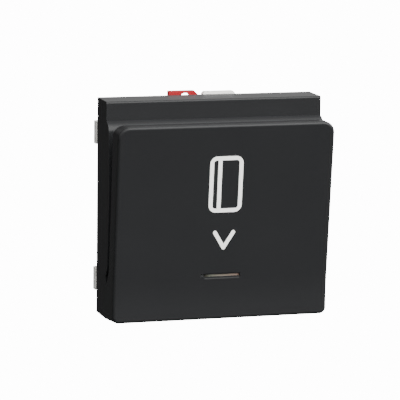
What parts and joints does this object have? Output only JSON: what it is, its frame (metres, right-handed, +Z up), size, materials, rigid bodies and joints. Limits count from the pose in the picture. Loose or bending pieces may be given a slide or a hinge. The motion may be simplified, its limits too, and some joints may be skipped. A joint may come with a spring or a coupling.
{
  "type": "hotel key card switch",
  "caption": "Two-module wall switch with a slot for a key card: the card tips a sprung lever that closes a switch behind the bezel.",
  "frame": {"origin": "middle of the bezel's rear rim, where it sits on the wall frame", "axes": "+X to the right seen from the room, +Y into the wall, +Z up"},
  "size_m": [0.045, 0.0385, 0.0445],
  "materials": {
    "anthracite_plastic": "fine satin moulded texture",
    "window_plastic": "smoked translucent, polished",
    "white_plastic": "plain moulded",
    "red_plastic": "plain moulded",
    "grey_plastic": "plain moulded",
    "black_plastic": "plain moulded",
    "steel": "zinc plated",
    "brass": "rolled strip",
    "board_green": "solder mask",
    "led_plastic": "clear tinted resin",
    "resistor_body": "coated",
    "diode_body": "moulded"
  },
  "bodies": {
    "housing": {"bezel": "anthracite_plastic", "front_cover": "anthracite_plastic", "card_guide": "anthracite_plastic", "light_guide": "window_plastic", "cover_screws": "steel", "mechanism_base": "white_plastic", "rear_cover": "white_plastic", "latch_spring": "steel", "lever_pin": "steel", "lever_spring": "steel", "microswitch_case": "black_plastic", "microswitch_cover": "black_plastic", "fixed_contact": "brass", "common_contact": "brass", "circuit_board": "board_green", "indicator_led": "led_plastic", "led_resistor": "resistor_body", "led_diode": "diode_body", "line_bar": "brass", "load_bar": "brass", "neutral_bar": "brass"},
    "lever": {"card_lever": "grey_plastic"},
    "plunger": {"microswitch_plunger": "red_plastic"},
    "blade": {"moving_blade": "brass"},
    "latch": {"release_latch": "red_plastic"},
    "line_clamp": {"line_cage": "steel"},
    "line_turn": {"line_screw": "steel"},
    "load_clamp": {"load_cage": "steel"},
    "load_turn": {"load_screw": "steel"},
    "neutral_clamp": {"neutral_cage": "steel"},
    "neutral_turn": {"neutral_screw": "steel"}
  },
  "joints": [
    {"name": "lever_tip", "type": "hinge", "parent": "housing", "child": "lever", "pos_m": [0, 0.003, -0.0065], "axis": [1, 0, 0], "range_deg": [0, 12.5], "stiffness_Nm_per_rad": 0.0076, "springref_deg": -28.65, "deforming": ["lever_spring"]},
    {"name": "plunger_slide", "type": "slide", "parent": "housing", "child": "plunger", "axis": [0, 0, -1], "range_m": [0, 0.000801]},
    {"name": "blade_tip", "type": "hinge", "parent": "housing", "child": "blade", "pos_m": [-0.0048, -0.0006, -0.01333], "axis": [0, -1, 0], "range_deg": [0, 9.46]},
    {"name": "latch_slide", "type": "slide", "parent": "housing", "child": "latch", "axis": [0, 0, -1], "range_m": [0, 0.0018], "stiffness_N_per_m": 300, "springref_m": -0.003, "deforming": ["latch_spring"]},
    {"name": "line_screw_turn", "type": "hinge", "parent": "housing", "child": "line_turn", "pos_m": [-0.0104, 0.0188, -0.0128], "axis": [0, -1, 0], "range_deg": [0, 2340.5]},
    {"name": "line_cage_slide", "type": "slide", "parent": "housing", "child": "line_clamp", "axis": [0, 1, 0], "range_m": [0, 0.00325]},
    {"name": "load_screw_turn", "type": "hinge", "parent": "housing", "child": "load_turn", "pos_m": [0, 0.0188, -0.0128], "axis": [0, -1, 0], "range_deg": [0, 2340.5]},
    {"name": "load_cage_slide", "type": "slide", "parent": "housing", "child": "load_clamp", "axis": [0, 1, 0], "range_m": [0, 0.00325]},
    {"name": "neutral_screw_turn", "type": "hinge", "parent": "housing", "child": "neutral_turn", "pos_m": [0.0104, 0.0188, -0.0128], "axis": [0, -1, 0], "range_deg": [0, 2340.5]},
    {"name": "neutral_cage_slide", "type": "slide", "parent": "housing", "child": "neutral_clamp", "axis": [0, 1, 0], "range_m": [0, 0.00325]}
  ],
  "couplings": [
    {"joint": "plunger_slide", "follows": "lever_tip", "m_per_rad": 0.0036669},
    {"joint": "blade_tip", "follows": "lever_tip", "ratio": 0.75699},
    {"joint": "line_screw_turn", "follows": "line_cage_slide", "rad_per_m": 12566},
    {"joint": "load_screw_turn", "follows": "load_cage_slide", "rad_per_m": 12566},
    {"joint": "neutral_screw_turn", "follows": "neutral_cage_slide", "rad_per_m": 12566}
  ]
}
